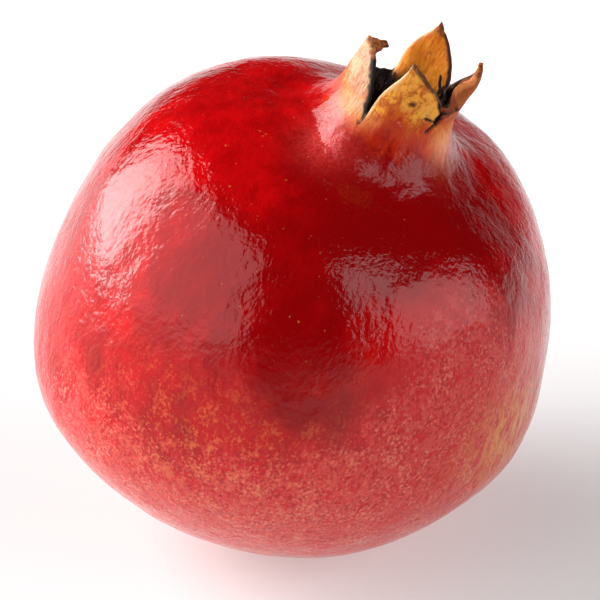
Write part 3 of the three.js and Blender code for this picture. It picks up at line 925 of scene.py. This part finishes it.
# The dried style's path: distance from the axis, and height above the ring.
STYLE = [(6.4, -6.0), (6.7, -2.0), (6.4, 1.5), (6.0, 4.0), (5.5, 5.8), (4.9, 7.6)]
STYLE_AZIMUTH = 346
STYLE_RADII = (0.42, 0.22)  # at the foot and at the tip
# Torn black shreds inside the right lobe: azimuth, foot radius, foot height above the ring, length, tilt
# outwards, sideways bend, thickness.
SHREDS = [
    (352, 7.2, 1.0, 5.4, -12, -1.6, 0.50), (357, 7.6, 1.8, 4.6, -4, -1.4, 0.55),
    (3, 7.8, 2.2, 4.8, 2, -1.8, 0.50), (9, 7.9, 3.0, 4.4, 8, -1.9, 0.42),
    (345, 7.2, 0.2, 5.2, -8, 0.9, 0.48), (338, 7.4, 0.0, 5.0, -2, 1.2, 0.46),
    (330, 7.6, -0.2, 5.2, 4, -0.8, 0.42), (349, 7.6, 0.6, 4.4, 8, 1.2, 0.55),
    (341, 7.8, 0.6, 3.6, 10, -1.0, 0.52), (354, 7.9, 1.2, 3.4, 14, 0.8, 0.50),
]


def swept(path, radii, sides):
    """A closed round tube along a path, pointed at its ends when the end radii are small."""
    tangent = unit(np.gradient(path, axis=0))
    aside = unit(np.cross(tangent, (0.31, 0.87, 0.38)))
    across = np.cross(tangent, aside)
    turn = np.arange(sides) * 2 * math.pi / sides
    circles = np.cos(turn)[:, None] * aside[:, None] + np.sin(turn)[:, None] * across[:, None]
    rings = path[:, None] + circles * radii[:, None, None]
    points = np.concatenate([rings.reshape(-1, 3), path[:1], path[-1:]])
    rows = [range(row * sides, (row + 1) * sides) for row in range(len(path))]
    faces = ring_faces([len(points) - 2], rows[0])
    for low, high in zip(rows, rows[1:]):
        faces += ring_faces(low, high)
    faces += [face[::-1] for face in ring_faces([len(points) - 1], rows[-1])]
    return points, faces


def stem_path(share, foot, base, length, tilt, bend, power):
    """A path that leans outwards and bends over sideways."""
    lean = math.radians(tilt)
    return np.stack([foot + math.sin(lean) * length * share, bend * share ** power,
                     base + math.cos(lean) * length * share], 1)


def filament(azimuth, foot, length, tilt, radius, bead, bend, sides=6, rows=9):
    """One dried filament standing on the pad, bent over sideways, with a bead at its end."""
    share = np.linspace(0, 1, rows)
    path = stem_path(share, foot, PAD["base"] + 0.55 * PAD["height"], length, tilt, bend, 2)
    swell = np.exp(-((share - 0.93) / 0.07) ** 2)
    radii = np.maximum(lerp(radius, 0.7 * radius, share), bead * swell)
    radii[-1] = 0.3 * bead
    points, faces = swept(path, radii, sides)
    return turned(points, azimuth), faces


def turned(points, azimuth):
    """Points turned about the fruit's axis."""
    turn = math.radians(azimuth)
    spin = np.array([[math.cos(turn), -math.sin(turn), 0], [math.sin(turn), math.cos(turn), 0], [0, 0, 1]])
    return points @ spin.T


def rough_path(path, amount):
    """A path shaken a little off its line all along, but not at its foot."""
    shake = np.stack([noise_at(path * 0.9 + shift) for shift in (3.0, 17.0, 29.0)], 1)
    return path + amount * shake * np.linspace(0, 1, len(path))[:, None]


def dried_style():
    """The shrivelled style, black and crooked, with ragged sides."""
    knots = np.array(STYLE)
    share = np.linspace(0, len(knots) - 1, 26)
    out, up = (np.interp(share, range(len(knots)), knots[:, i]) for i in (0, 1))
    path = np.stack([out, 0 * out, TUBE_TOP + up], 1)
    radii = lerp(*STYLE_RADII, share / share[-1]) + 0.10 * noise_at(path * 2.4)
    radii[-1] = 0.05
    points, faces = swept(rough_path(path, 0.45), radii, 8)
    return turned(points, STYLE_AZIMUTH), faces


def shred(azimuth, foot, height, length, tilt, bend, thickness):
    """A torn, blackened shred of a lobe's inner skin, thick below and drawn out to a point."""
    share = np.linspace(0, 1, 14)
    path = stem_path(share, foot, TUBE_TOP + height, length, tilt, bend, 1.5)
    radii = thickness * (1 - share) ** 0.7 + 0.05 + 0.08 * noise_at(path * 2.7)
    points, faces = swept(rough_path(path, 0.5), np.maximum(radii, 0.04), 7)
    return turned(points, azimuth), faces


def pad_dome(columns=72, rows=20):
    """The fibrous pad that the filaments stand in, rough on top."""
    share = np.linspace(0, 1, rows + 1)[1:]
    rings = Rings()
    base, height, radius = PAD["base"], PAD["height"], PAD["radius"]
    angles = np.arange(columns) * 2 * math.pi / columns
    rings.add([(0, 0, base - PAD_SINKS)])
    for part in share:
        rings.add(on_tube(radius * part, angles, base - PAD_SINKS + (PAD_SINKS + PAD_RIM) * part ** 3))
    for part in share[::-1]:
        dome = base + PAD_RIM + (height - PAD_RIM) * (1 - part ** 4)
        rings.add(on_tube(radius * part * 0.995, angles, dome))
    rings.add([(0, 0, base + height)])
    points, _ = rings.collect()
    upper = ease((points[:, 2] - base - 0.6) / 1.0)
    rough = noise_at(points, (0.9, 0.9, 1.5)) + 0.6 * noise_at(points, 0.45)
    points[:, 2] += 0.35 * upper * rough
    return points, rings.faces


def gather(parts):
    """Several meshes as one."""
    faces, start = [], 0
    for points, part_faces in parts:
        faces += [tuple(start + i for i in face) for face in part_faces]
        start += len(points)
    return np.concatenate([points for points, _ in parts]), faces


def make_stamens():
    random = np.random.default_rng(SEED)
    parts = [pad_dome(), dried_style(), *(shred(*values) for values in SHREDS)]
    for count, radius, length, tilt in FILAMENT_RINGS:
        for i in range(count):
            parts.append(filament(
                azimuth=(i + 0.5 + random.uniform(-0.4, 0.4)) * 360 / count,
                foot=radius + random.uniform(-0.5, 0.5),
                length=length + random.uniform(-1.5, 1.5),
                tilt=tilt + random.uniform(-10, 10),
                radius=FILAMENT_RADIUS * random.uniform(0.8, 1.3),
                bead=BEAD_RADIUS * random.uniform(0.8, 1.2),
                bend=random.uniform(-1.6, 1.6)))
    points, faces = gather(parts)
    piece = make_object("dried_stamens", points, faces)
    store(piece.data, "grain", points)
    return piece


# ---- Stalk ----
STALK_OUTLINE = [(1.6, -43.3), (2.9, -43.75), (3.3, -44.2), (2.8, -44.8), (2.5, -45.6), (2.6, -46.3),
                 (2.2, -46.7)]
STALK_TOP = -43.2
STALK_CUT = -46.6
STALK_PITH = 0.04  # how far a ring round the middle of the cut stands out
STALK_SQUASH = 0.88
BARK_FROM = -43.9  # the bark's ribs and roughness begin here, at their full height 0.8 further down
RIB_HEIGHT = 0.14
BARK_ROUGH = 0.05


def make_stalk(columns=64, rows=34):
    outline = np.array(STALK_OUTLINE)
    along = distances(outline)
    at = np.linspace(0, along[-1], rows)
    radii = np.interp(at, along, outline[:, 0])
    heights = np.interp(at, along, outline[:, 1])
    angles = -np.arange(columns) * 2 * math.pi / columns
    rings = Rings()
    rings.add([(0, 0, STALK_TOP)], azimuth=0.0)
    rings.add(on_tube(0.8, angles, STALK_TOP - 0.05), azimuth=angles)
    for radius, height in zip(radii, heights):
        rings.add(on_tube(radius, angles, height), azimuth=angles)
    for share in (0.8, 0.6, 0.4, 0.2):
        height = STALK_CUT - STALK_PITH * (share < 0.5)
        rings.add(on_tube(outline[-1, 0] * share, angles, height), azimuth=angles)
    rings.add([(0, 0, STALK_CUT)], azimuth=0.0)
    points, marks = rings.collect()
    side = ease((BARK_FROM - points[:, 2]) / 0.8)
    ribs = noise_at(on_tube(4.0, marks["azimuth"], points[:, 2] / 3.0))
    rough = noise_at(points, 0.35)
    away = np.maximum(np.hypot(points[:, 0], points[:, 1]), 1e-6)
    outwards = points * [1, 1, 0] / away[:, None]
    points = points + outwards * (side * (RIB_HEIGHT * ribs + BARK_ROUGH * rough))[:, None]
    points[:, 2] += BARK_ROUGH * side * rough
    points[:, 1] *= STALK_SQUASH
    piece = make_object("stalk_stub", points, rings.faces)
    store(piece.data, "grain", points)
    return piece


# ---- Floor, lights and camera ----
FLOOR_SIZE = 10.0
FLOOR_PALE = 0.58
# Painted shade on the floor: a grey well in front of the fruit, so that the fruit's front reflects a dark
# floor.
FLOOR_FRONT_SHADE = 0.22  # the grey well in front of the fruit, out of the picture
FLOOR_FALL = (-0.24, -0.04)  # between which y it rises from that grey to the pale
FLOOR_SLOPES = (-0.8, 1.6)  # how the grey narrows to the left and to the right
# Painted light: the floor glows, brighter behind the fruit than in front and fading away from it.
FLOOR_GLOW = (0.34, 0.62)  # in front of the fruit and behind it
GLOW_RISE = (0.0, 0.15)  # between which y the glow changes
GLOW_FADE = (0.26, 0.7)  # distances from the fruit over which the glow fades
GLOW_FAINT = 0.3  # to this share
FLOOR_ROUGHNESS = 0.9
FLOOR_SPECULAR = 0.1
WHITE = (1.0, 1.0, 1.0)
AMBIENT = 0.02
CAMERA_ELEVATION = 30
CAMERA_DISTANCE = 0.60
SENSOR = 36.0
PIXELS = 600
PIXELS_PER_MM = 5.38
BODY_PIXEL = (295, 308)  # where the middle of the body lies in the picture


def make_floor():
    half = FLOOR_SIZE / 2
    corners = [(-half, -half, 0), (half, -half, 0), (half, half, 0), (-half, half, 0)]
    mesh = bpy.data.meshes.new("floor")
    mesh.from_pydata(corners, [], [(0, 1, 2, 3)])
    floor = add_object("floor", mesh)
    n = Nodes("pale_floor")
    place = n.add("ShaderNodeTexCoord").outputs["Object"]
    apart = n.add("ShaderNodeSeparateXYZ", {0: place})
    sideways = [n.times(apart.outputs[0], slope) for slope in FLOOR_SLOPES]
    front = n.math("ADD", apart.outputs[1], n.math("MAXIMUM", *sideways))
    near = n.ramp(front, *FLOOR_FALL)
    glow = n.ramp(apart.outputs[1], *GLOW_RISE, *FLOOR_GLOW)
    away = n.add("ShaderNodeVectorMath", {0: place}, operation="LENGTH").outputs["Value"]
    mesh.materials.append(n.shade({
        # painted shade: grey in the front well
        "Base Color": n.mix(near, [FLOOR_FRONT_SHADE] * 3, [FLOOR_PALE] * 3),
        "Roughness": FLOOR_ROUGHNESS,
        "Specular IOR Level": FLOOR_SPECULAR,
        # painted light: the floor's glow
        "Emission Color": WHITE,
        "Emission Strength": n.times(near, glow, n.ramp(away, *GLOW_FADE, 1.0, GLOW_FAINT))}))


def aim(thing, place, target):
    thing.location = place
    thing.rotation_mode = "QUATERNION"
    thing.rotation_quaternion = (target - place).to_track_quat("-Z", "Y")


# Tall soft lights standing on the floor like windows. Each lies in an upright plane: its azimuth and
# distance from the fruit, where it begins and ends along the plane, its height, and how bright it looks.
WINDOWS = [
    ("window_left_back", 198, 1.20, -2.35, -0.48, 2.24, 7.2),
    ("window_left_hot", 198, 1.18, -1.38, -0.44, 1.16, 4.2),
    ("window_left_front", 198, 1.20, -0.44, 1.05, 2.18, 2.1),
    ("window_right", -60, 1.50, 0.28, 3.30, 1.78, 2.6),
    ("window_back", 62, 2.40, -0.97, 0.97, 0.65, 0.4),
]


def make_window(name, azimuth, distance, begin, end, height, radiance):
    light = bpy.data.lights.new(name, "AREA")
    light.shape = "RECTANGLE"
    light.size = end - begin
    light.size_y = height
    light.energy = radiance * math.pi * light.size * light.size_y
    turn = math.radians(azimuth)
    out = Vector((math.cos(turn), math.sin(turn), 0))
    along = Vector((-math.sin(turn), math.cos(turn), 0))
    place = out * distance + along * (begin + end) / 2 + Vector((0, 0, height / 2))
    aim(add_object(name, light), place, place - out)


def make_lights():
    for window in WINDOWS:
        make_window(*window)
    world = bpy.data.worlds.new("studio")
    bpy.context.scene.world = world
    world.use_nodes = True
    background = world.node_tree.nodes["Background"]
    background.inputs["Color"].default_value = (*WHITE, 1.0)
    background.inputs["Strength"].default_value = AMBIENT


def make_camera():
    elevation = math.radians(CAMERA_ELEVATION)
    back = Vector((0, -math.cos(elevation), math.sin(elevation)))
    up = Vector((0, math.sin(elevation), math.cos(elevation)))
    right = Vector((1, 0, 0))
    across, below = (pixel - PIXELS / 2 for pixel in BODY_PIXEL)
    offset = (up * below - right * across) / PIXELS_PER_MM
    target = Vector((0, 0, REST_HEIGHT * MM)) + offset * MM
    data = bpy.data.cameras.new("camera")
    data.sensor_width = SENSOR
    data.lens = SENSOR * CAMERA_DISTANCE / (PIXELS / PIXELS_PER_MM * MM)
    camera = add_object("camera", data)
    aim(camera, target + back * CAMERA_DISTANCE, target)
    bpy.context.scene.camera = camera
    bpy.context.scene.view_settings.view_transform = "Standard"


# ---- Put together ----
PIECES = [
    (make_rind, "fruit", "rind", rind_material),
    (make_stamens, "stamens", "dried_stamens",
     lambda: dry_material("dried_filaments", srgb(20, 11, 8), srgb(74, 44, 26), (0.5, 0.5, 2.5))),
    (make_stalk, "stalk", "woody_stalk",
     lambda: dry_material("dry_stalk", srgb(70, 46, 30), srgb(150, 116, 78), (0.6, 0.6, 2.4))),
]
for build, node, slot, finish in PIECES:
    piece = build()
    piece.data.materials.append(finish())
    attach(piece, "root")
    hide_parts(node)

make_floor()
make_lights()
make_camera()
